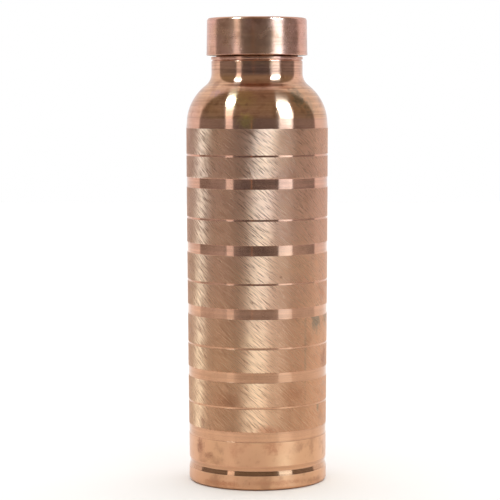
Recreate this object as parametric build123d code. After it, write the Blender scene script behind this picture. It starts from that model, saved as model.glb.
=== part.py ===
"""Copper water bottle with a screw cap: spun body, pressed base, threaded neck collar, lined cap and seal.

Millimetres, +Z up. The origin is the centre of the foot, on the surface that the bottle stands on.
Every outline is a list of (radius, height) corners, each with an optional rounding radius, turned about Z.
"""

import os
from math import cos, radians, sin, tan

from build123d import *

# ---- Body shell: one spun copper sheet from the foot to the neck ----
SHEET = 0.6
FOOT_INNER_R = 33.0
FOOT_R = 36.56
FOOT_ROUND = 1.9
FOOT_BAND_TOP_R, FOOT_BAND_TOP_Z = 36.46, 7.7
LOCK_GROOVE_R, LOCK_GROOVE_Z = 35.80, 10.15
WALL_BOTTOM_R, WALL_BOTTOM_Z = 36.36, 12.6
WALL_TOP_R, WALL_TOP_Z = 37.42, 187.2
WALL_BULGE = 0.13
SHOULDER_R, SHOULDER_Z = 37.02, 192.4
SHOULDER_END_SLOPE = 7.0
SHOULDER_STEEPEST_SLOPE = 52.5
NECK_FILLET = 7.8
NECK_R = 24.1
NECK_TOP_Z = 222.5
NECK_TOP_ROUND = 0.5

# Polished cuts turned into the wall: wide bands and fine lines, spaced by hand on the lathe.
CUT_DEPTH = 0.12
CUT_BEVEL = 0.12
BAND_WIDTH, BAND_HEIGHTS = 5.4, (27.9, 58.9, 91.9, 124.7, 158.9)
LINE_WIDTH, LINE_HEIGHTS = 1.05, (43.1, 74.0, 107.3, 140.3, 173.2)

# ---- Base disc, pushed up inside the foot band under the lock groove ----
BASE_R = 35.84
BASE_FLANGE_Z = 1.2
BASE_TOP_Z = 6.8
BASE_PANEL_R, BASE_PANEL_RISE, BASE_PANEL_STEP = 27.0, 1.2, 1.5
BRAZE_LEG = 0.7

# ---- Neck collar: the threaded mouth ----
FLANGE_R, FLANGE_BOTTOM_Z, FLANGE_TOP_Z = 24.2, 222.95, 224.5
FLANGE_ROUND = 0.35
SKIRT_WALL, SKIRT_BOTTOM_Z = 0.9, 217.5
BORE_R = 20.3
LIP_Z = 241.4
LIP_ROUND = 0.5

# ---- Screw thread between the collar and the cap's sleeve ----
PITCH = 4.0
MALE_ROOT_R, MALE_CREST_R = 21.5, 22.5
FEMALE_CREST_R, FEMALE_ROOT_R = 21.9, 22.9
MALE_START_Z, MALE_TURNS = 229.0, 2.5
FEMALE_START_Z, FEMALE_TURNS = 227.65, 2.75
RIDGE_ROOT_WIDTH, RIDGE_CREST_WIDTH = 1.7, 0.8
RIDGE_BURIED = 0.3

# ---- Cap ----
CAP_BOTTOM_Z, CAP_TOP_Z = 225.3, 244.8
CAP_BOTTOM_R, CAP_TOP_R = 26.66, 26.28
CAP_HEM_Z, CAP_HEM_R = 227.3, 26.56
CAP_TOP_ROUND, CAP_EDGE_ROUND = 1.6, 0.28
SLEEVE_R, SLEEVE_BOTTOM_Z, SLEEVE_TOP_Z = 24.0, 226.2, 243.5
SLEEVE_FLANGE = 0.6
SEAL_INNER_R, SEAL_R = 18.6, 22.7
SEAL_BOTTOM_Z, SEAL_TOP_Z = 241.45, 243.45
SEAL_ROUND = 0.4


def wall_r(z):
    """The wall's outer radius: a long taper with a slight belly."""
    share = (z - WALL_BOTTOM_Z) / (WALL_TOP_Z - WALL_BOTTOM_Z)
    taper = WALL_BOTTOM_R + (WALL_TOP_R - WALL_BOTTOM_R) * share
    return taper + 4 * WALL_BULGE * share * (1 - share)


def turned(corners):
    """A solid of revolution about Z from closed (radius, height[, rounding]) corners."""
    edges, first, at = [], None, None
    for i, (r, z, *rounding) in enumerate(corners):
        corner = Vector(r, z)
        before = Vector(*corners[i - 1][:2]) - corner
        after = Vector(*corners[(i + 1) % len(corners)][:2]) - corner
        if rounding:
            half = radians(before.get_angle(after)) / 2
            reach = rounding[0] / tan(half)
            entry = corner + before.normalized() * reach
            leave = corner + after.normalized() * reach
            inward = (before.normalized() + after.normalized()).normalized()
            middle = corner + inward * (rounding[0] / sin(half) - rounding[0])
        else:
            entry = leave = corner
        if at is not None and (entry - at).length > 1e-6:
            edges.append(Line(at, entry))
        if rounding:
            edges.append(ThreePointArc(entry, middle, leave))
        first = first or entry
        at = leave
    if (first - at).length > 1e-6:
        edges.append(Line(at, first))
    face = Plane.XZ * make_face(edges)
    return revolve(face, Axis.Z)


def shoulder(inset):
    """The shoulder's two rounded corners and its lower end, for the surface inset into the sheet."""
    steep, end = radians(SHOULDER_STEEPEST_SLOPE), radians(SHOULDER_END_SLOPE)
    crown = SHOULDER_R - NECK_R - NECK_FILLET * (1 - cos(steep))
    crown /= cos(end) - cos(steep)
    centre_r = SHOULDER_R - crown * cos(end)
    centre_z = SHOULDER_Z - crown * sin(end)
    fillet_z = centre_z + (NECK_FILLET + crown) * sin(steep)
    reach = (crown - inset) / cos((steep - end) / 2)
    middle = (steep + end) / 2
    fillet = NECK_FILLET + inset
    return [
        (centre_r + (crown - inset) * cos(end), centre_z + (crown - inset) * sin(end)),
        (centre_r + reach * cos(middle), centre_z + reach * sin(middle), crown - inset),
        (NECK_R - inset, fillet_z - fillet * tan(steep / 2), fillet),
    ]


def turned_cuts():
    """Corners of every band and line cut into the wall, from the lowest up."""
    cuts = [(z, BAND_WIDTH) for z in BAND_HEIGHTS] + [(z, LINE_WIDTH) for z in LINE_HEIGHTS]
    corners = []
    for z, width in sorted(cuts):
        low, high = z - width / 2, z + width / 2
        corners += [
            (wall_r(low), low),
            (wall_r(low) - CUT_DEPTH, low + CUT_BEVEL),
            (wall_r(high) - CUT_DEPTH, high - CUT_BEVEL),
            (wall_r(high), high),
        ]
    return corners


def body_shell():
    outside = [
        (FOOT_INNER_R, 0),
        (FOOT_R, 0, FOOT_ROUND),
        (FOOT_BAND_TOP_R, FOOT_BAND_TOP_Z, 0.6),
        (LOCK_GROOVE_R, LOCK_GROOVE_Z, 1.0),
        (WALL_BOTTOM_R, WALL_BOTTOM_Z, 0.6),
        *turned_cuts(),
        (WALL_TOP_R, WALL_TOP_Z),
        *shoulder(0),
        (NECK_R, NECK_TOP_Z, NECK_TOP_ROUND),
    ]
    inside = [
        (FOOT_INNER_R, SHEET),
        (FOOT_R - SHEET, SHEET, FOOT_ROUND - SHEET),
        (FOOT_BAND_TOP_R - SHEET, FOOT_BAND_TOP_Z - 0.1, 0.6),
        (LOCK_GROOVE_R - SHEET, LOCK_GROOVE_Z, 1.0),
        (WALL_BOTTOM_R - SHEET, WALL_BOTTOM_Z + 0.1, 0.6),
        (wall_r(WALL_TOP_Z / 2) - SHEET, WALL_TOP_Z / 2),
        (WALL_TOP_R - SHEET, WALL_TOP_Z),
        *shoulder(SHEET),
        (NECK_R - SHEET, NECK_TOP_Z),
    ]
    return turned(outside + inside[::-1])


def base_disc():
    step = BASE_PANEL_STEP / 2
    panel_z = BASE_TOP_Z + BASE_PANEL_RISE
    return turned(
        [
            (0, panel_z),
            (BASE_PANEL_R - step, panel_z, 0.8),
            (BASE_PANEL_R + step, BASE_TOP_Z, 0.8),
            (BASE_R, BASE_TOP_Z),
            (BASE_R, BASE_FLANGE_Z, 0.25),
            (BASE_R - SHEET, BASE_FLANGE_Z, 0.25),
            (BASE_R - SHEET, BASE_TOP_Z - SHEET, 0.5),
            (BASE_PANEL_R + step, BASE_TOP_Z - SHEET, 0.8),
            (BASE_PANEL_R - step, panel_z - SHEET, 0.8),
            (0, panel_z - SHEET),
        ]
    )


def base_braze():
    return turned(
        [
            (BASE_R - BRAZE_LEG, BASE_TOP_Z),
            (BASE_R, BASE_TOP_Z),
            (BASE_R, BASE_TOP_Z + BRAZE_LEG),
        ]
    )


def ridge(root_r, crest_r, start_z, turns):
    """A trapezoid thread ridge on a right-hand helix.

    Its flanks run on into the wall that carries it, so no edge of the ridge lies in the wall's surface.
    """
    crest = RIDGE_CREST_WIDTH / 2
    buried_r = root_r - RIDGE_BURIED if crest_r > root_r else root_r + RIDGE_BURIED
    flank = (RIDGE_ROOT_WIDTH / 2 - crest) / abs(crest_r - root_r)
    buried = crest + flank * abs(crest_r - buried_r)
    profile = Plane.XZ * make_face(
        Polyline(
            (buried_r, start_z - buried),
            (crest_r, start_z - crest),
            (crest_r, start_z + crest),
            (buried_r, start_z + buried),
            close=True,
        )
    )
    rise = PITCH * turns
    path = Helix(PITCH, rise, (root_r + crest_r) / 2, center=(0, 0, start_z))
    return sweep(profile, path, binormal=Edge.make_line((0, 0, start_z), (0, 0, start_z + rise)))


def neck_collar():
    skirt_r = NECK_R - SHEET
    tube = turned(
        [
            (skirt_r, SKIRT_BOTTOM_Z),
            (skirt_r, FLANGE_BOTTOM_Z),
            (FLANGE_R, FLANGE_BOTTOM_Z, FLANGE_ROUND),
            (FLANGE_R, FLANGE_TOP_Z, FLANGE_ROUND),
            (MALE_ROOT_R, FLANGE_TOP_Z, 0.4),
            (MALE_ROOT_R, LIP_Z, LIP_ROUND),
            (BORE_R, LIP_Z, LIP_ROUND),
            (BORE_R, FLANGE_TOP_Z, 1.0),
            (skirt_r - SKIRT_WALL, NECK_TOP_Z - 0.6, 1.0),
            (skirt_r - SKIRT_WALL, SKIRT_BOTTOM_Z),
        ]
    )
    return tube + ridge(MALE_ROOT_R, MALE_CREST_R, MALE_START_Z, MALE_TURNS)


def collar_braze():
    skirt_r = NECK_R - SHEET
    return turned(
        [
            (skirt_r, SKIRT_BOTTOM_Z),
            (skirt_r - BRAZE_LEG, SKIRT_BOTTOM_Z),
            (skirt_r, SKIRT_BOTTOM_Z - BRAZE_LEG),
        ]
    )


def cap_shell():
    return turned(
        [
            (0, CAP_TOP_Z),
            (CAP_TOP_R, CAP_TOP_Z, CAP_TOP_ROUND),
            (CAP_HEM_R, CAP_HEM_Z),
            (CAP_BOTTOM_R, CAP_BOTTOM_Z, CAP_EDGE_ROUND),
            (CAP_BOTTOM_R - SHEET, CAP_BOTTOM_Z, CAP_EDGE_ROUND),
            (CAP_BOTTOM_R - SHEET, SLEEVE_BOTTOM_Z),
            (CAP_TOP_R - SHEET, CAP_TOP_Z - SHEET, CAP_TOP_ROUND - SHEET),
            (0, CAP_TOP_Z - SHEET),
        ]
    )


def cap_sleeve():
    flange_r = CAP_BOTTOM_R - SHEET - 0.05
    tube = turned(
        [
            (FEMALE_ROOT_R, SLEEVE_BOTTOM_Z, 0.3),
            (flange_r, SLEEVE_BOTTOM_Z),
            (flange_r, SLEEVE_BOTTOM_Z + SLEEVE_FLANGE),
            (SLEEVE_R, SLEEVE_BOTTOM_Z + SLEEVE_FLANGE, 0.3),
            (SLEEVE_R, SLEEVE_TOP_Z),
            (FEMALE_ROOT_R, SLEEVE_TOP_Z),
        ]
    )
    return tube + ridge(FEMALE_ROOT_R, FEMALE_CREST_R, FEMALE_START_Z, FEMALE_TURNS)


def cap_braze():
    flange_r = CAP_BOTTOM_R - SHEET - 0.05
    return turned(
        [
            (flange_r, SLEEVE_BOTTOM_Z),
            (flange_r - BRAZE_LEG, SLEEVE_BOTTOM_Z),
            (flange_r, SLEEVE_BOTTOM_Z - BRAZE_LEG),
        ]
    )


def cap_liner():
    return turned(
        [
            (0, SLEEVE_TOP_Z),
            (SLEEVE_R, SLEEVE_TOP_Z),
            (SLEEVE_R, CAP_TOP_Z - SHEET),
            (0, CAP_TOP_Z - SHEET),
        ]
    )


def seal_ring():
    return turned(
        [
            (SEAL_INNER_R, SEAL_BOTTOM_Z, SEAL_ROUND),
            (SEAL_R, SEAL_BOTTOM_Z, SEAL_ROUND),
            (SEAL_R, SEAL_TOP_Z, SEAL_ROUND),
            (SEAL_INNER_R, SEAL_TOP_Z, SEAL_ROUND),
        ]
    )


PARTS = {
    "body_shell": body_shell,
    "base_disc": base_disc,
    "base_braze_ring": base_braze,
    "neck_collar": neck_collar,
    "collar_braze_ring": collar_braze,
    "cap_shell": cap_shell,
    "cap_thread_sleeve": cap_sleeve,
    "cap_braze_ring": cap_braze,
    "cap_liner_disc": cap_liner,
    "seal_ring": seal_ring,
}

os.makedirs("parts", exist_ok=True)
for name, make in PARTS.items():
    export_step(make(), f"parts/{name}.step")
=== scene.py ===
"""Looks for the copper water bottle: detailed turned meshes, copper finishes, a studio and the camera.

Outlines, stains and tool marks are in millimetres, and the meshes, lights and camera in metres. phi is the
angle about the bottle's axis, 0 at the front (-Y) and positive to the right as seen from the front.
"""

from math import atan2, ceil, cos, degrees, pi, radians, sin, sqrt, tan

import bpy
from mathutils import Matrix, Vector, noise


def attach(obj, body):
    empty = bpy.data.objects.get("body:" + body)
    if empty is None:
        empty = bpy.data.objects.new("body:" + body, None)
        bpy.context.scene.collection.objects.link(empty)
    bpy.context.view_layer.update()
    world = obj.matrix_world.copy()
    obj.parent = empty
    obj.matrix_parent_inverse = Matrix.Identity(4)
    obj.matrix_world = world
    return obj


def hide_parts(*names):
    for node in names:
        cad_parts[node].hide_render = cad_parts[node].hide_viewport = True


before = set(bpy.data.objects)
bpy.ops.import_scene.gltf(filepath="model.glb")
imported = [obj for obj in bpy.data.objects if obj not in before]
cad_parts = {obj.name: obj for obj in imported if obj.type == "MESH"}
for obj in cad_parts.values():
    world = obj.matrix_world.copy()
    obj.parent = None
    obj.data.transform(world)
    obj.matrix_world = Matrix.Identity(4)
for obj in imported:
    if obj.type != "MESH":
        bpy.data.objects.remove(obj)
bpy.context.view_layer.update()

MM = 0.001
TURN = 2 * pi
# The UV map's height stands for this many mm along an outline.
UV_SPAN = 300

# ---------------------------------------------------------------- sizes, shared with the CAD part, in mm
SHEET = 0.6
FOOT_INNER_R, FOOT_R, FOOT_ROUND = 33.0, 36.56, 1.9
FOOT_BAND_TOP_R, FOOT_BAND_TOP_Z = 36.46, 7.7
LOCK_GROOVE_R, LOCK_GROOVE_Z = 35.80, 10.15
WALL_BOTTOM_R, WALL_BOTTOM_Z = 36.36, 12.6
WALL_TOP_R, WALL_TOP_Z = 37.42, 187.2
WALL_BULGE = 0.13
SHOULDER_R, SHOULDER_Z = 37.02, 192.4
SHOULDER_END_SLOPE, SHOULDER_STEEPEST_SLOPE = 7.0, 52.5
NECK_FILLET, NECK_R, NECK_TOP_Z = 7.8, 24.1, 222.5
CUT_DEPTH, CUT_BEVEL = 0.12, 0.12
BAND_WIDTH, BAND_HEIGHTS = 5.4, (27.9, 58.9, 91.9, 124.7, 158.9)
LINE_WIDTH, LINE_HEIGHTS = 1.05, (43.1, 74.0, 107.3, 140.3, 173.2)
BASE_R, BASE_FLANGE_Z, BASE_TOP_Z = 35.84, 1.2, 6.8
BASE_PANEL_R, BASE_PANEL_RISE, BASE_PANEL_STEP = 27.0, 1.2, 1.5
FLANGE_R, FLANGE_BOTTOM_Z, FLANGE_TOP_Z = 24.2, 222.95, 224.5
SKIRT_WALL, SKIRT_BOTTOM_Z = 0.9, 217.5
BORE_R, LIP_Z = 20.3, 241.4
PITCH = 4.0
MALE_ROOT_R, MALE_CREST_R, MALE_START_Z, MALE_TURNS = 21.5, 22.5, 229.0, 2.5
FEMALE_ROOT_R, FEMALE_CREST_R, FEMALE_START_Z, FEMALE_TURNS = 22.9, 21.9, 227.65, 2.75
RIDGE_ROOT_WIDTH, RIDGE_CREST_WIDTH = 1.7, 0.8
CAP_BOTTOM_Z, CAP_TOP_Z = 225.3, 244.8
CAP_BOTTOM_R, CAP_TOP_R, CAP_ROUND = 26.66, 26.28, 1.6
CAP_HEM_Z, CAP_HEM_R = 227.3, 26.56
SLEEVE_R, SLEEVE_BOTTOM_Z, SLEEVE_TOP_Z = 24.0, 226.2, 243.5
SEAL_INNER_R, SEAL_R, SEAL_BOTTOM_Z, SEAL_TOP_Z = 18.6, 22.7, 241.45, 243.45
BRAZE_LEG = 0.7

# Stretches of the two threaded surfaces that need rows close enough together for their ridges.
MALE_ROWS_Z, FEMALE_ROWS_Z, ROW_STEP = (227.6, 239.96), (226.74, 239.7), 0.12
RIDGE_FADE_TURNS = 0.09
COLLAR_SHADE_TOP_Z = 228
NECK_FINISH_Z = 216

# The wall's middling radius, which turns angles into mm around it.
ROUND_R = 37.0
# The hatch runs down to the right, this far below the horizontal.
HATCH_SLOPE = radians(40)


def wall_r(z):
    share = (z - WALL_BOTTOM_Z) / (WALL_TOP_Z - WALL_BOTTOM_Z)
    taper = WALL_BOTTOM_R + (WALL_TOP_R - WALL_BOTTOM_R) * share
    return taper + 4 * WALL_BULGE * share * (1 - share)


def rounded(corners, closed=True, step=radians(5), longest=1e9):
    """Points along an outline of (radius, height[, rounding]) corners, with the roundings as arcs of one
    point per step of turning, and straights split into pieces no longer than longest."""
    points = []
    count = len(corners)
    for i, (r, z, *rounding) in enumerate(corners):
        corner = Vector((r, z))
        if not rounding:
            points.append(corner)
            continue
        before = (Vector(corners[i - 1][:2]) - corner).normalized()
        after = (Vector(corners[(i + 1) % count][:2]) - corner).normalized()
        half = before.angle(after) / 2
        centre = corner + (before + after).normalized() * (rounding[0] / sin(half))
        reach = rounding[0] / tan(half)
        start, end = corner + before * reach - centre, corner + after * reach - centre
        bend = atan2(start.x * end.y - start.y * end.x, start.dot(end))
        steps = max(2, ceil(abs(bend) / step))
        for k in range(steps + 1):
            c, s = cos(bend * k / steps), sin(bend * k / steps)
            points.append(centre + Vector((start.x * c - start.y * s, start.x * s + start.y * c)))
    dense = []
    for i, p in enumerate(points):
        q = points[(i + 1) % len(points)]
        dense.append(p)
        if closed or i + 1 < len(points):
            pieces = ceil((q - p).length / longest)
            dense += [p.lerp(q, k / pieces) for k in range(1, pieces)]
    return [(p.x, p.y) for p in dense]


def turned(name, outline, materials, zone=None, shape=None, closed=True, segments=288, sharp=28):
    """A mesh turned about Z from (radius, height) points in mm. A closed outline makes a ring or shell; an
    open one starts and ends on the axis. zone(r, z) gives the material at a face's middle, and
    shape(phi, r, z) moves a point. The UV map runs around the axis and along the outline."""
    ahead = outline[1:] + outline[:1]
    if sum(r0 * z1 - r1 * z0 for (r0, z0), (r1, z1) in zip(outline, ahead)) < 0:
        outline = outline[::-1]
        ahead = outline[1:] + outline[:1]
    rings, verts = [], []
    for r, z in outline:
        if r < 1e-6:
            rings.append([len(verts)] * (segments + 1))
            verts.append((0, 0, z * MM))
            continue
        ring = list(range(len(verts), len(verts) + segments))
        rings.append(ring + ring[:1])
        for k in range(segments):
            phi = TURN * k / segments
            rr, zz = shape(phi, r, z) if shape else (r, z)
            verts.append((rr * sin(phi) * MM, -rr * cos(phi) * MM, zz * MM))
    faces, uvs, slots = [], [], []
    run = 0.0
    for i in range(len(outline) if closed else len(outline) - 1):
        (r0, z0), (r1, z1) = outline[i], ahead[i]
        low, high = rings[i], rings[(i + 1) % len(rings)]
        v0 = run / UV_SPAN
        run += sqrt((r1 - r0) ** 2 + (z1 - z0) ** 2)
        v1 = run / UV_SPAN
        slot = materials.index(zone((r0 + r1) / 2, (z0 + z1) / 2)) if zone else 0
        for k in range(segments):
            u0, u1 = k / segments, (k + 1) / segments
            corners = [(low[k], u0, v0), (low[k + 1], u1, v0), (high[k + 1], u1, v1), (high[k], u0, v1)]
            # On the axis a ring is one point, and the face there has three corners.
            seen, face = set(), []
            for index, u, v in corners:
                if index not in seen:
                    seen.add(index)
                    face.append(index)
                    uvs.append((u, v))
            faces.append(face)
            slots.append(slot)
    mesh = bpy.data.meshes.new(name)
    mesh.from_pydata(verts, [], faces)
    layer = mesh.uv_layers.new(name="UVMap")
    layer.data.foreach_set("uv", [x for uv in uvs for x in uv])
    for material in materials:
        mesh.materials.append(material)
    mesh.polygons.foreach_set("material_index", slots)
    mesh.polygons.foreach_set("use_smooth", [True] * len(faces))
    mesh.set_sharp_from_angle(angle=radians(sharp))
    mesh.validate()
    obj = bpy.data.objects.new(name, mesh)
    bpy.context.scene.collection.objects.link(obj)
    return obj


def place(obj, node, body):
    """The piece stands for that CAD node, on that body."""
    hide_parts(node)
    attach(obj, body)


# ---------------------------------------------------------------- node helpers
class Graph:
    """A node tree, built by calls that return output sockets. Colours are sockets or (r, g, b)."""

    def __init__(self, tree):
        self.tree = tree
        tree.nodes.clear()

    def feed(self, socket, value):
        if isinstance(value, bpy.types.NodeSocket):
            self.tree.links.new(value, socket)
        else:
            socket.default_value = value

    def node(self, kind, inputs=None, out=0, **settings):
        n = self.tree.nodes.new(kind)
        for key, value in settings.items():
            setattr(n, key, value)
        for key, value in (inputs or {}).items():
            self.feed(n.inputs[key], value)
        return n.outputs[out]

    def math(self, operation, a, b=0.0):
        return self.node("ShaderNodeMath", {0: a, 1: b}, operation=operation)

    def add(self, a, b):
        return self.math("ADD", a, b)

    def mul(self, a, b):
        return self.math("MULTIPLY", a, b)

    def step(self, x, low, high, to_low=0.0, to_high=1.0):
        """Smooth change from to_low at low to to_high at high."""
        return self.node(
            "ShaderNodeMapRange",
            {"Value": x, "From Min": low, "From Max": high, "To Min": to_low, "To Max": to_high},
            interpolation_type="SMOOTHSTEP",
        )

    def plateau(self, x, centre, half, soft):
        """1 within half of centre, falling to 0 over soft."""
        away = self.math("ABSOLUTE", self.add(x, -centre))
        return self.step(away, half, half + soft, 1.0, 0.0)

    def split(self, vector):
        n = self.tree.nodes.new("ShaderNodeSeparateXYZ")
        self.tree.links.new(vector, n.inputs[0])
        return n.outputs

    def angle(self, x, y):
        """The angle about Z in radians: 0 at the front, positive to the right."""
        return self.math("ARCTAN2", x, self.mul(y, -1.0))

    def noise(self, vector, scale=1.0, detail=2.0, roughness=0.5):
        return self.node(
            "ShaderNodeTexNoise", {"Vector": vector, "Scale": scale, "Detail": detail, "Roughness": roughness}
        )

    def mix(self, factor, a, b, blend="MIX"):
        n = self.tree.nodes.new("ShaderNodeMix")
        n.data_type, n.blend_type = "RGBA", blend
        self.feed(n.inputs[0], factor)
        for socket, value in ((n.inputs[6], a), (n.inputs[7], b)):
            self.feed(socket, value if isinstance(value, bpy.types.NodeSocket) else (*value, 1.0))
        return n.outputs[2]


class Surface(Graph):
    """A new material's node tree."""

    def __init__(self, name):
        self.material = bpy.data.materials.new(name)
        self.material.use_nodes = True
        super().__init__(self.material.node_tree)
        self.point = self.node("ShaderNodeTexCoord", out=3)

    def principled(self, colour, constants):
        """The material's shader, with constants by the names of its own sockets."""
        shader = self.tree.nodes.new("ShaderNodeBsdfPrincipled")
        self.tree.links.new(colour, shader.inputs["Base Color"])
        for key, value in constants.items():
            shader.inputs[key].default_value = value
        out = self.tree.nodes.new("ShaderNodeOutputMaterial")
        self.tree.links.new(shader.outputs[0], out.inputs[0])
        return shader

    def bump(self, shader, height, depth):
        """Relief of that depth in mm."""
        relief = self.node("ShaderNodeBump", {"Height": height, "Distance": depth * MM, "Strength": 1.0})
        self.tree.links.new(relief, shader.inputs["Normal"])


class Around(Surface):
    """A material's tree with the bottle's own coordinates: phi in radians, and r and z in mm."""

    def __init__(self, name):
        super().__init__(name)
        x, y, z = self.split(self.point)
        self.phi = self.angle(x, y)
        self.z = self.mul(z, 1000.0)
        flat = self.add(self.mul(x, x), self.mul(y, y))
        self.r = self.mul(self.math("SQRT", flat), 1000.0)

    def circle(self, angle, radius, along):
        """A point on a circle of that radius, so that what it feeds closes up around the bottle."""
        x = self.mul(self.math("COSINE", angle), radius)
        y = self.mul(self.math("SINE", angle), radius)
        return self.node("ShaderNodeCombineXYZ", {0: x, 1: y, 2: along})

    def blotch(self, phi, z, width, height):
        """A ragged patch at phi (degrees) and z, width and height in mm: 1 inside, 0 outside."""
        across = self.mul(self.add(self.phi, -radians(phi)), 2.0 * ROUND_R / width)
        up = self.mul(self.add(self.z, -z), 2.0 / height)
        far = self.math("SQRT", self.add(self.mul(across, across), self.mul(up, up)))
        edge = self.noise(self.point, 420.0, 5.0, 0.7)
        inside = self.step(self.add(far, self.mul(self.add(edge, -0.5), 3.5)), 0.2, 1.5, 1.0, 0.0)
        return self.mul(inside, self.step(self.noise(self.point, 1500.0, 3.0, 0.6), 0.3, 0.6, 0.45, 1.0))


# ---------------------------------------------------------------- copper
BRIGHT = (0.77, 0.43, 0.31)
PINK = (0.77, 0.425, 0.34)
WARM = (0.60, 0.345, 0.245)
LOW = (0.61, 0.335, 0.20)
LOW_PALE = (0.70, 0.385, 0.225)
DULL = (0.62, 0.30, 0.17)
RED = (0.50, 0.21, 0.11)
BROWN = (0.34, 0.145, 0.08)
GREY = (0.30, 0.24, 0.17)
OLIVE = (0.92, 0.64, 0.26)
YELLOW = (0.74, 0.43, 0.24)
MAUVE = (0.52, 0.30, 0.30)
SHADED = (0.50, 0.28, 0.25)
# The dark base of the painted shade in the gaps under the cap.
GAP_SHADE = (0.16, 0.06, 0.035)


def mottled(g, base, amount=0.35, low=LOW):
    """The metal's colour: yellower low down, with soft drifts between paler, redder and browner copper."""
    wide = g.noise(g.point, 28.0, 3.0, 0.55)
    patches = g.noise(g.point, 105.0, 5.0, 0.6)
    fine = g.noise(g.point, 420.0, 4.0, 0.65)
    colour = g.mix(g.step(g.z, 160.0, 40.0), base, low)
    colour = g.mix(g.mul(g.step(wide, 0.42, 0.68), amount), colour, YELLOW)
    colour = g.mix(g.mul(g.step(patches, 0.5, 0.68), amount * 0.7), colour, BROWN)
    colour = g.mix(g.mul(g.step(patches, 0.42, 0.3), amount * 0.5), colour, RED)
    return g.mix(g.mul(g.step(fine, 0.55, 0.75), amount * 0.7), colour, DULL)


def stained(g, colour, stains):
    """Ragged stains over the colour: (phi, z, width, height, tint, strength)."""
    for phi, z, width, height, tint, strength in stains:
        colour = g.mix(g.mul(g.blotch(phi, z, width, height), strength), colour, tint)
    return colour


def finish(g, colour, roughness, height, depth, anisotropic=0.0, rotation=0.0):
    """The metal's shader: relief of that depth in mm, and an anisotropy with its tangent round the bottle."""
    constants = {"Metallic": 1.0, "Anisotropic": anisotropic, "Anisotropic Rotation": rotation}
    shader = g.principled(colour, constants)
    g.tree.links.new(roughness, shader.inputs["Roughness"])
    if anisotropic:
        tangent = g.node("ShaderNodeTangent", direction_type="UV_MAP", uv_map="UVMap")
        g.tree.links.new(tangent, shader.inputs["Tangent"])
    g.bump(shader, height, depth)
    return g.material


def tool_lines(g, along, spacing):
    """Fine grooves left by a turning tool: rings along that coordinate (mm), each slightly uneven round."""
    coarse = g.noise(g.circle(g.phi, 0.5, g.mul(along, 1.0 / spacing)), 1.0, 3.0, 0.7)
    drift = g.noise(g.circle(g.phi, 0.3, g.mul(along, 0.25 / spacing)), 1.0, 1.0, 0.5)
    return g.add(g.mul(coarse, 0.7), g.mul(drift, 0.3))


def turned_copper(
    name, base, roughness, depth, spacing, faced=False, amount=0.25, stains=(), streaks=0.1, anisotropic=1.0
):
    """Copper with tool lines of that depth and spacing in mm: up the wall, or out across a faced disc. The
    lines darken and brighten the colour by streaks, and amount is how mottled it is."""
    g = Around(name)
    lines = tool_lines(g, g.r if faced else g.z, spacing)
    colour = stained(g, mottled(g, base, amount), stains)
    colour = g.mix(1.0, colour, g.step(lines, 0.35, 0.65, 1.0 - 2 * streaks, 1.0 + streaks), "MULTIPLY")
    rough = g.step(g.noise(g.point, 90.0, 3.0, 0.6), 0.3, 0.75, roughness * 0.9, roughness * 1.25)
    return finish(g, colour, rough, lines, depth, anisotropic, 0.25)


def hatch(g, slope, spacing, breaks=0.1, detail=2.0, start=0.0):
    """Scratches that fall to the right at that slope, about that far apart (mm), shorter with more breaks."""
    lean = 1 / (ROUND_R * tan(slope))
    sway = g.mul(g.math("SINE", g.mul(g.z, TURN / 63.0)), 0.03)
    slid = g.add(g.add(g.phi, g.mul(g.z, lean)), sway)
    across = ROUND_R * sin(slope) / spacing
    along = g.add(g.mul(g.z, breaks / spacing), start)
    return g.noise(g.circle(slid, across, along), 1.0, detail, 0.6)


def brushed_copper():
    """The hatched wall, with its stains. glint is the hatch that sparkles: where it is high, the copper is
    paler and rougher. One stretch under the shoulder was brushed again more steeply."""
    g = Around("copper_brushed")
    fine = hatch(g, HATCH_SLOPE, 0.4, breaks=0.12)
    glint = hatch(g, HATCH_SLOPE, 0.3, breaks=0.08, detail=0.3, start=7.3)
    steep = hatch(g, radians(66), 1.2, start=3.1)
    redone = g.plateau(g.z, 167.5, 5.0, 1.0)
    height = g.add(g.mul(fine, 0.4), glint)
    height = g.add(height, g.mul(g.mul(steep, redone), 3.0))
    colour = mottled(g, WARM, 0.3, LOW_PALE)
    colour = g.mix(1.0, colour, g.step(glint, 0.36, 0.64, 0.83, 1.10), "MULTIPLY")
    colour = stained(g, colour, (
        (55.5, 87.7, 8.0, 12.0, GREY, 1.0),
        (75.0, 88.0, 9.0, 9.0, GREY, 0.8),
        (42.3, 72.0, 1.4, 48.0, GREY, 0.4),
        (59.3, 42.1, 2.4, 5.0, GREY, 0.8),
        (71.6, 66.0, 7.0, 12.0, BROWN, 0.8),
        (18.8, 111.0, 1.5, 1.5, BROWN, 0.9),
        (7.0, 31.6, 14.0, 4.0, RED, 0.9),
        (-25.0, 46.0, 17.0, 8.0, RED, 0.6),
        (30.0, 49.0, 15.0, 9.0, RED, 0.5),
        (-52.0, 33.0, 3.0, 12.0, BROWN, 0.8),
    ))
    rough = g.step(glint, 0.37, 0.63, 0.27, 0.53)
    return finish(g, colour, rough, height, 0.055, 1.0, (pi / 2 - HATCH_SLOPE) / TURN)


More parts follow.
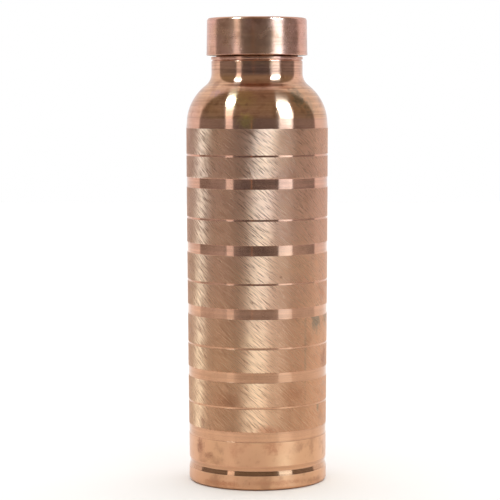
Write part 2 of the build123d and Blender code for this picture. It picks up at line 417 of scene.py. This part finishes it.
def satin_copper():
    """The plain stretch above the foot and the foot band, dulled by handling."""
    g = Around("copper_satin")
    lines = tool_lines(g, g.z, 0.9)
    colour = stained(g, mottled(g, LOW_PALE, 0.6, LOW_PALE), (
        (-56.0, 20.7, 6.6, 8.0, BROWN, 1.0),
        (-45.0, 16.6, 8.0, 3.5, BROWN, 0.8),
        (12.0, 24.0, 9.0, 9.0, RED, 0.7),
        (-20.0, 21.0, 5.0, 8.0, RED, 0.5),
        (-30.0, 3.0, 22.0, 3.0, RED, 0.9),
        (20.0, 4.0, 30.0, 2.4, RED, 0.7),
        (55.0, 3.0, 14.0, 3.0, BROWN, 0.6),
    ))
    rough = g.step(g.noise(g.point, 120.0), 0.3, 0.7, 0.28, 0.38)
    return finish(g, colour, rough, lines, 0.03, 0.6, 0.25)


def plain_copper(name, base, roughness):
    """As formed, with a fine grain: the inside of the sheet, or, with a dark base, painted shade in the gaps
    under the cap.
    """
    g = Around(name)
    grain = g.noise(g.point, 900.0, 4.0, 0.6)
    rough = g.step(g.noise(g.point, 60.0), 0.3, 0.7, roughness * 0.85, roughness * 1.2)
    return finish(g, mottled(g, base, 0.6), rough, grain, 0.03)


def braze_metal():
    """Brazing alloy as it froze, lumpy and paler than copper."""
    g = Around("braze")
    run = g.noise(g.point, 420.0, 5.0, 0.6)
    colour = g.mix(g.step(run, 0.35, 0.7), (0.72, 0.56, 0.34), (0.46, 0.30, 0.20))
    return finish(g, colour, g.step(run, 0.3, 0.7, 0.3, 0.5), run, 0.12)


def silicone():
    """Milky food-grade rubber with a matt moulded face."""
    g = Surface("silicone")
    grain = g.noise(g.point, 1400.0, 3.0, 0.6)
    tone = g.mix(g.step(g.noise(g.point, 80.0, 3.0), 0.3, 0.7), (0.78, 0.77, 0.73), (0.70, 0.69, 0.64))
    shader = g.principled(tone, {
        "Roughness": 0.45,
        "IOR": 1.41,
        "Subsurface Weight": 0.15,
        "Subsurface Radius": (0.001, 0.001, 0.0008),
    })
    g.bump(shader, grain, 0.02)
    return g.material


OLIVE_SPOT = (-9.2, 191.0, 7.5, 8.0, OLIVE, 1.0)
POLISHED = turned_copper(
    "copper_polished",
    PINK,
    roughness=0.24,
    depth=0.05,
    spacing=0.7,
    amount=0.6,
    streaks=0.06,
    anisotropic=0.75,
)
NECK = turned_copper(
    "copper_neck",
    BRIGHT,
    roughness=0.12,
    depth=0.10,
    spacing=0.8,
    amount=0.5,
    stains=((20.0, 214.0, 18.0, 3.0, OLIVE, 0.5), (-5.0, 221.0, 30.0, 1.6, YELLOW, 0.5)),
    streaks=0.12,
)
CUTS = turned_copper(
    "copper_cuts",
    BRIGHT,
    roughness=0.14,
    depth=0.015,
    spacing=0.8,
    stains=(OLIVE_SPOT,),
    streaks=0.06,
)
SHOULDER = turned_copper(
    "copper_shoulder",
    BRIGHT,
    roughness=0.12,
    depth=0.045,
    spacing=0.9,
    amount=0.7,
    stains=(
        OLIVE_SPOT,
        (39.0, 203.5, 10.0, 9.0, GREY, 0.9),
        (50.0, 198.0, 10.0, 10.0, GREY, 0.5),
        (-42.0, 205.5, 9.0, 4.0, MAUVE, 0.7),
        (30.0, 208.5, 14.0, 1.8, RED, 0.8),
        (-14.0, 203.0, 14.0, 9.0, OLIVE, 0.5),
    ),
)
# The groove's darker mauve-brown base is painted shade for its recess.
GROOVE = turned_copper("copper_groove", SHADED, roughness=0.11, depth=0.03, spacing=1.0)
FACED = turned_copper("copper_faced", BRIGHT, roughness=0.2, depth=0.03, spacing=0.9, faced=True)
BRUSHED = brushed_copper()
SATIN = satin_copper()
INSIDE = plain_copper("copper_inside", DULL, 0.42)
# Dark copper that paints shade on the cap's underside, the collar's top and the sleeve's foot, where the cap
# shuts out the light.
DARK = plain_copper("copper_gap_shade", GAP_SHADE, 0.5)
BRAZE = braze_metal()
SILICONE = silicone()


# ---------------------------------------------------------------- body shell
def shoulder(inset):
    """Corners of the shoulder, inset from its outside: a crown arc that starts at the wall's end slope, then
    the neck fillet, both tangent to one another at the steepest slope."""
    steep, end = radians(SHOULDER_STEEPEST_SLOPE), radians(SHOULDER_END_SLOPE)
    crown = SHOULDER_R - NECK_R - NECK_FILLET * (1 - cos(steep))
    crown /= cos(end) - cos(steep)
    centre_r = SHOULDER_R - crown * cos(end)
    centre_z = SHOULDER_Z - crown * sin(end)
    fillet_z = centre_z + (NECK_FILLET + crown) * sin(steep)
    reach = (crown - inset) / cos((steep - end) / 2)
    middle, fillet = (steep + end) / 2, NECK_FILLET + inset
    return [
        (centre_r + (crown - inset) * cos(end), centre_z + (crown - inset) * sin(end)),
        (centre_r + reach * cos(middle), centre_z + reach * sin(middle), crown - inset),
        (NECK_R - inset, fillet_z - fillet * tan(steep / 2), fillet),
    ]


CUTS_MADE = sorted([(z, BAND_WIDTH) for z in BAND_HEIGHTS] + [(z, LINE_WIDTH) for z in LINE_HEIGHTS])


def body_outline():
    cuts = []
    for z, width in CUTS_MADE:
        low, high = z - width / 2, z + width / 2
        cuts += [
            (wall_r(low), low),
            (wall_r(low) - CUT_DEPTH, low + CUT_BEVEL),
            (wall_r(high) - CUT_DEPTH, high - CUT_BEVEL),
            (wall_r(high), high),
        ]
    outside = [
        (FOOT_INNER_R, 0),
        (FOOT_R, 0, FOOT_ROUND),
        (FOOT_BAND_TOP_R, FOOT_BAND_TOP_Z, 0.6),
        (LOCK_GROOVE_R, LOCK_GROOVE_Z, 1.0),
        (WALL_BOTTOM_R, WALL_BOTTOM_Z, 0.6),
        *cuts,
        (WALL_TOP_R, WALL_TOP_Z),
        *shoulder(0),
        (NECK_R, NECK_TOP_Z, 0.5),
    ]
    inside = [
        (FOOT_INNER_R, SHEET),
        (FOOT_R - SHEET, SHEET, FOOT_ROUND - SHEET),
        (FOOT_BAND_TOP_R - SHEET, FOOT_BAND_TOP_Z - 0.1, 0.6),
        (LOCK_GROOVE_R - SHEET, LOCK_GROOVE_Z, 1.0),
        (WALL_BOTTOM_R - SHEET, WALL_BOTTOM_Z + 0.1, 0.6),
        (wall_r(WALL_TOP_Z / 2) - SHEET, WALL_TOP_Z / 2),
        (WALL_TOP_R - SHEET, WALL_TOP_Z),
        *shoulder(SHEET),
        (NECK_R - SHEET, NECK_TOP_Z),
    ]
    return rounded(outside + inside[::-1], step=radians(4), longest=6.0)


SHOULDER_LINE = rounded(
    [(WALL_TOP_R, WALL_TOP_Z), *shoulder(0), (NECK_R, NECK_TOP_Z)], closed=False, step=radians(3)
)


def shoulder_r(z):
    """The outer radius of the shoulder at a height, read from its outline."""
    for (r0, z0), (r1, z1) in zip(SHOULDER_LINE, SHOULDER_LINE[1:]):
        if z0 <= z <= z1:
            return r0 + (r1 - r0) * (z - z0) / (z1 - z0)
    return NECK_R


def body_zone(r, z):
    if WALL_BOTTOM_Z < z < WALL_TOP_Z:
        if r < wall_r(z) - SHEET / 2:
            return INSIDE
        if any(abs(z - middle) < width / 2 for middle, width in CUTS_MADE):
            return CUTS
        return SATIN if z < BAND_HEIGHTS[0] else BRUSHED
    if z <= WALL_BOTTOM_Z:
        inner = FOOT_R - 0.45 if z < FOOT_BAND_TOP_Z else LOCK_GROOVE_R - SHEET / 2
        if r < inner and z > SHEET / 2:
            return INSIDE
        return GROOVE if z > FOOT_BAND_TOP_Z - 0.3 else SATIN
    if z > NECK_FINISH_Z:
        return NECK if r > NECK_R - 0.4 else INSIDE
    if r < shoulder_r(z) - SHEET / 2:
        return INSIDE
    return CUTS if z < SHOULDER_Z else SHOULDER


def hand_made(size):
    """Slight waviness left by spinning, up to size mm. Flat ends, near the axis, stay flat."""

    def shape(phi, r, z):
        if r < 20:
            return r, z
        at = Vector((cos(phi) * 1.7, sin(phi) * 1.7, z / 24))
        return r + noise.noise(at) * size, z

    return shape


body = turned(
    "bottle_shell",
    body_outline(),
    [BRUSHED, CUTS, SHOULDER, NECK, SATIN, INSIDE, GROOVE],
    zone=body_zone,
    shape=hand_made(0.05),
)
place(body, "body_shell", "bottle")


# ---------------------------------------------------------------- base
half_step = BASE_PANEL_STEP / 2
panel_z = BASE_TOP_Z + BASE_PANEL_RISE
base = turned(
    "base_plate",
    rounded(
        [
            (0, panel_z),
            (BASE_PANEL_R - half_step, panel_z, 0.8),
            (BASE_PANEL_R + half_step, BASE_TOP_Z, 0.8),
            (BASE_R, BASE_TOP_Z),
            (BASE_R, BASE_FLANGE_Z, 0.25),
            (BASE_R - SHEET, BASE_FLANGE_Z, 0.25),
            (BASE_R - SHEET, BASE_TOP_Z - SHEET, 0.5),
            (BASE_PANEL_R + half_step, BASE_TOP_Z - SHEET, 0.8),
            (BASE_PANEL_R - half_step, panel_z - SHEET, 0.8),
            (0, panel_z - SHEET),
        ],
        closed=False,
        longest=3.0,
    ),
    [FACED, INSIDE],
    zone=lambda r, z: INSIDE if z > panel_z - SHEET / 2 else FACED,
    closed=False,
)
place(base, "base_disc", "bottle")


def braze_ring(name, corners, node, body_name):
    """A run of braze in a corner, its face uneven as it froze."""

    def uneven(phi, r, z):
        lump = noise.noise(Vector((cos(phi) * 9, sin(phi) * 9, z * 0.6))) * 0.06
        return r - abs(lump), z

    ring = turned(name, rounded(corners, longest=0.3), [BRAZE], shape=uneven, segments=240, sharp=60)
    place(ring, node, body_name)


def hanging_corner(r, z):
    """The corner under an edge that meets a wall of that radius."""
    return [(r, z), (r - BRAZE_LEG, z), (r, z - BRAZE_LEG)]


braze_ring(
    "base_braze",
    [(BASE_R - BRAZE_LEG, BASE_TOP_Z), (BASE_R, BASE_TOP_Z), (BASE_R, BASE_TOP_Z + BRAZE_LEG)],
    "base_braze_ring",
    "bottle",
)
skirt_r = NECK_R - SHEET
braze_ring("collar_braze", hanging_corner(skirt_r, SKIRT_BOTTOM_Z), "collar_braze_ring", "bottle")
flange_r = CAP_BOTTOM_R - SHEET - 0.05
braze_ring("cap_braze", hanging_corner(flange_r, SLEEVE_BOTTOM_Z), "cap_braze_ring", "cap")


# ---------------------------------------------------------------- threads
def threaded(root_r, crest_r, start_z, turns):
    """Raises the ridge out of points on the root surface, fading at both ends."""

    def shape(phi, r, z):
        if abs(r - root_r) > 0.01:
            return r, z
        # The CAD part's helix starts on +X, which is phi = 90 degrees, and climbs anticlockwise from above.
        angle = (phi - pi / 2) % TURN
        best = 0.0
        for lap in range(-1, ceil(turns) + 1):
            travel = angle / TURN + lap
            if not 0 <= travel <= turns:
                continue
            off = abs(z - start_z - PITCH * travel)
            crest, root = RIDGE_CREST_WIDTH / 2, RIDGE_ROOT_WIDTH / 2
            rise = min(1.0, max(0.0, (root - off) / (root - crest)))
            fade = min(1.0, travel / RIDGE_FADE_TURNS, (turns - travel) / RIDGE_FADE_TURNS)
            best = max(best, rise * fade)
        eased = best * best * (3 - 2 * best)
        return r + (crest_r - root_r) * (0.5 * best + 0.5 * eased), z

    return shape


def rows(r, start, end):
    """Points up or down a threaded surface from start to end, close together."""
    step = ROW_STEP if end > start else -ROW_STEP
    return [(r, start + step * k) for k in range(round((end - start) / step) + 1)]


collar = turned(
    "threaded_collar",
    rounded(
        [
            (skirt_r, SKIRT_BOTTOM_Z),
            (skirt_r, FLANGE_BOTTOM_Z),
            (FLANGE_R, FLANGE_BOTTOM_Z, 0.35),
            (FLANGE_R, FLANGE_TOP_Z, 0.35),
            (MALE_ROOT_R, FLANGE_TOP_Z, 0.4),
            *rows(MALE_ROOT_R, *MALE_ROWS_Z),
            (MALE_ROOT_R, LIP_Z, 0.5),
            (BORE_R, LIP_Z, 0.5),
            (BORE_R, FLANGE_TOP_Z, 1.0),
            (skirt_r - SKIRT_WALL, NECK_TOP_Z - 0.6, 1.0),
            (skirt_r - SKIRT_WALL, SKIRT_BOTTOM_Z),
        ]
    ),
    [POLISHED, DARK],
    # The collar's top under the cap gets painted shade.
    zone=lambda r, z: DARK if FLANGE_TOP_Z - 0.02 < z < COLLAR_SHADE_TOP_Z and r > BORE_R + 0.5 else POLISHED,
    shape=threaded(MALE_ROOT_R, MALE_CREST_R, MALE_START_Z, MALE_TURNS),
    sharp=40,
)
place(collar, "neck_collar", "bottle")

sleeve = turned(
    "cap_thread",
    rounded(
        [
            (FEMALE_ROOT_R, SLEEVE_BOTTOM_Z, 0.3),
            (flange_r, SLEEVE_BOTTOM_Z),
            (flange_r, SLEEVE_BOTTOM_Z + SHEET),
            (SLEEVE_R, SLEEVE_BOTTOM_Z + SHEET, 0.3),
            (SLEEVE_R, SLEEVE_TOP_Z),
            (FEMALE_ROOT_R, SLEEVE_TOP_Z),
            *rows(FEMALE_ROOT_R, *FEMALE_ROWS_Z[::-1]),
        ]
    ),
    [POLISHED, DARK],
    # The sleeve's foot under the cap gets painted shade.
    zone=lambda r, z: DARK if z < SLEEVE_BOTTOM_Z + 1 else POLISHED,
    shape=threaded(FEMALE_ROOT_R, FEMALE_CREST_R, FEMALE_START_Z, FEMALE_TURNS),
    sharp=40,
)
place(sleeve, "cap_thread_sleeve", "cap")


# ---------------------------------------------------------------- cap, liner and seal
def cap_zone(r, z):
    # Under the cap's hem: painted shade.
    if z < SLEEVE_BOTTOM_Z and r < CAP_BOTTOM_R - 0.3:
        return DARK
    if r < CAP_TOP_R - 0.4 and z < CAP_TOP_Z - 0.3:
        return INSIDE
    return FACED if r < CAP_TOP_R - 1.5 else POLISHED


cap = turned(
    "cap_cup",
    rounded(
        [
            (0, CAP_TOP_Z),
            (CAP_TOP_R, CAP_TOP_Z, CAP_ROUND),
            (CAP_HEM_R, CAP_HEM_Z),
            (CAP_BOTTOM_R, CAP_BOTTOM_Z, 0.28),
            (CAP_BOTTOM_R - SHEET, CAP_BOTTOM_Z, 0.28),
            (CAP_BOTTOM_R - SHEET, SLEEVE_BOTTOM_Z),
            (CAP_TOP_R - SHEET, CAP_TOP_Z - SHEET, CAP_ROUND - SHEET),
            (0, CAP_TOP_Z - SHEET),
        ],
        closed=False,
        longest=2.5,
    ),
    [POLISHED, FACED, INSIDE, DARK],
    zone=cap_zone,
    shape=hand_made(0.03),
    closed=False,
)
place(cap, "cap_shell", "cap")

liner = turned(
    "cap_liner",
    rounded(
        [
            (0, SLEEVE_TOP_Z),
            (SLEEVE_R, SLEEVE_TOP_Z),
            (SLEEVE_R, CAP_TOP_Z - SHEET),
            (0, CAP_TOP_Z - SHEET),
        ],
        closed=False,
        longest=2.0,
    ),
    [FACED],
    closed=False,
)
place(liner, "cap_liner_disc", "cap")

seal = turned(
    "seal",
    rounded(
        [
            (SEAL_INNER_R, SEAL_BOTTOM_Z, 0.4),
            (SEAL_R, SEAL_BOTTOM_Z, 0.4),
            (SEAL_R, SEAL_TOP_Z, 0.4),
            (SEAL_INNER_R, SEAL_TOP_Z, 0.4),
        ],
        step=radians(10),
    ),
    [SILICONE],
)
place(seal, "seal_ring", "seal")


# ---------------------------------------------------------------- studio
SHOULDER_POINT = Vector((0, 0, 0.2))
COOL, COLD = (0.68, 0.86, 1.0), (0.56, 0.84, 1.0)
FLOOR_FRONT, FLOOR_BACK, FLOOR_SIDE = -0.45, 2.6, 0.8


def floor():
    """The pale table top that the bottle stands on. It ends near in front, as the bands' reflections show."""
    g = Surface("pale_floor")
    grain = g.noise(g.point, 3.0, 4.0)
    colour = g.mix(g.step(grain, 0.3, 0.7), (0.86, 0.86, 0.86), (0.89, 0.89, 0.89))
    g.principled(colour, {"Roughness": 0.9, "Specular IOR Level": 0.1})
    mesh = bpy.data.meshes.new("floor")
    left_front, right_front = (-FLOOR_SIDE, FLOOR_FRONT, 0), (FLOOR_SIDE, FLOOR_FRONT, 0)
    right_back, left_back = (FLOOR_SIDE, FLOOR_BACK, 0), (-FLOOR_SIDE, FLOOR_BACK, 0)
    mesh.from_pydata([left_front, right_front, right_back, left_back], [], [(0, 1, 2, 3)])
    mesh.materials.append(g.material)
    obj = bpy.data.objects.new("floor", mesh)
    bpy.context.scene.collection.objects.link(obj)


def toward(azimuth, elevation, distance):
    """A point seen from the bottle's shoulder in that direction: azimuth from the front, positive right."""
    a, e = radians(azimuth), radians(elevation)
    return SHOULDER_POINT + distance * Vector((sin(a) * cos(e), -cos(a) * cos(e), sin(e)))


def softbox(name, low, high, width, strength, shape="RECTANGLE", roll=0.0, tint=(1.0, 1.0, 1.0)):
    """An area light between two (azimuth, elevation, distance) points, facing the bottle, of that radiance,
    and turned by roll degrees about its own axis. It shows only in reflections."""
    bottom, top = toward(*low), toward(*high)
    middle, up = (bottom + top) / 2, (top - bottom).normalized()
    away = middle - SHOULDER_POINT
    away = (away - up * away.dot(up)).normalized()
    side = up.cross(away)
    data = bpy.data.lights.new(name, "AREA")
    data.shape, data.size, data.size_y = shape, width, (top - bottom).length
    data.color = tint
    fill = 1.0 if shape == "RECTANGLE" else pi / 4
    data.energy = strength * pi * data.size * data.size_y * fill
    light = bpy.data.objects.new(name, data)
    turn = Matrix((side, up, away)).transposed() @ Matrix.Rotation(radians(roll), 3, "Z")
    light.matrix_world = Matrix.Translation(middle) @ turn.to_4x4()
    light.visible_camera = light.visible_diffuse = False
    bpy.context.scene.collection.objects.link(light)


def overhead(strength):
    """Broad soft light from above on the floor, unseen by the metal."""
    data = bpy.data.lights.new("overhead", "SUN")
    data.energy, data.angle = strength, radians(120)
    light = bpy.data.objects.new("overhead", data)
    light.visible_camera = light.visible_glossy = False
    bpy.context.scene.collection.objects.link(light)


def surroundings():
    """White paper behind, a dim room in front, warmer higher up, and in it a thin orange upright that shows
    as a fine line in the copper. Seen directly, all of it is white."""
    world = bpy.data.worlds.new("studio")
    bpy.context.scene.world = world
    world.use_nodes = True
    g = Graph(world.node_tree)
    x, y, z = g.split(g.node("ShaderNodeTexCoord", out=0))
    azimuth = g.mul(g.angle(x, y), degrees(1))
    elevation = g.mul(g.math("ARCSINE", z), degrees(1))
    side = g.math("ABSOLUTE", azimuth)
    room = g.mix(g.step(side, 12.0, 85.0), (0.105, 0.105, 0.115), (0.24, 0.225, 0.22))
    room = g.mix(g.step(elevation, 4.0, 26.0), room, (0.27, 0.235, 0.175))
    room = g.mix(g.step(elevation, 45.0, 75.0), room, (0.25, 0.19, 0.135))
    line = g.mul(g.plateau(azimuth, -9.0, 0.5, 0.3), g.plateau(elevation, -1.0, 5.0, 2.0))
    room = g.mix(line, room, (0.60, 0.36, 0.18))
    colour = g.mix(g.step(side, 106.0, 111.0), room, (0.88, 0.86, 0.86))
    seen_directly = g.node("ShaderNodeLightPath", out=0)
    colour = g.mix(seen_directly, colour, (1.0, 1.0, 1.0))
    background = g.node("ShaderNodeBackground", {"Color": colour, "Strength": 1.0})
    out = g.tree.nodes.new("ShaderNodeOutputWorld")
    g.tree.links.new(background, out.inputs[0])


floor()
surroundings()
# The right box is wider and brightens upwards to a lamp; the left one is narrower and fainter.
softbox("key_right_low", (46.5, -13.0, 2.2), (46.5, 3.0, 2.2), 0.92, 1.4, tint=COOL)
softbox("key_right_middle", (46.5, 3.0, 2.2), (49.0, 13.0, 2.2), 0.92, 1.3, tint=COOL)
softbox("key_right", (49.0, 13.0, 2.2), (53.0, 29.0, 2.2), 0.88, 3.4, tint=COOL)
softbox("key_right_top", (52.0, 22.0, 2.25), (56.0, 34.0, 2.25), 0.56, 4.2, "ELLIPSE", tint=COOL)
softbox("lamp_right", (50.8, 32.05, 1.30), (50.8, 36.85, 1.30), 0.47, 128.0, roll=-31.0, tint=COLD)
softbox("key_left_low", (-44.7, -13.0, 2.2), (-46.0, 10.0, 2.2), 0.46, 0.62)
softbox("key_left", (-46.0, 10.0, 2.2), (-54.0, 40.0, 2.2), 0.46, 1.3)
softbox("lamp_left", (-58.0, 43.5, 2.15), (-64.0, 53.5, 2.15), 0.52, 56.0, "ELLIPSE", tint=COLD)
overhead(2.45)

# ---------------------------------------------------------------- camera
SENSOR, LENS = 36.0, 137.376
CAMERA_AT = (-0.00386, -1.011, 0.2044)
DOWN, ROLL = radians(4.64), radians(-0.115)
data = bpy.data.cameras.new("camera")
data.sensor_width, data.lens = SENSOR, LENS
camera = bpy.data.objects.new("camera", data)
aim = Matrix.Rotation(pi / 2 - DOWN, 4, "X") @ Matrix.Rotation(ROLL, 4, "Z")
camera.matrix_world = Matrix.Translation(CAMERA_AT) @ aim
bpy.context.scene.collection.objects.link(camera)
bpy.context.scene.camera = camera

view = bpy.context.scene.view_settings
view.view_transform, view.look = "Standard", "None"

bpy.context.view_layer.update()
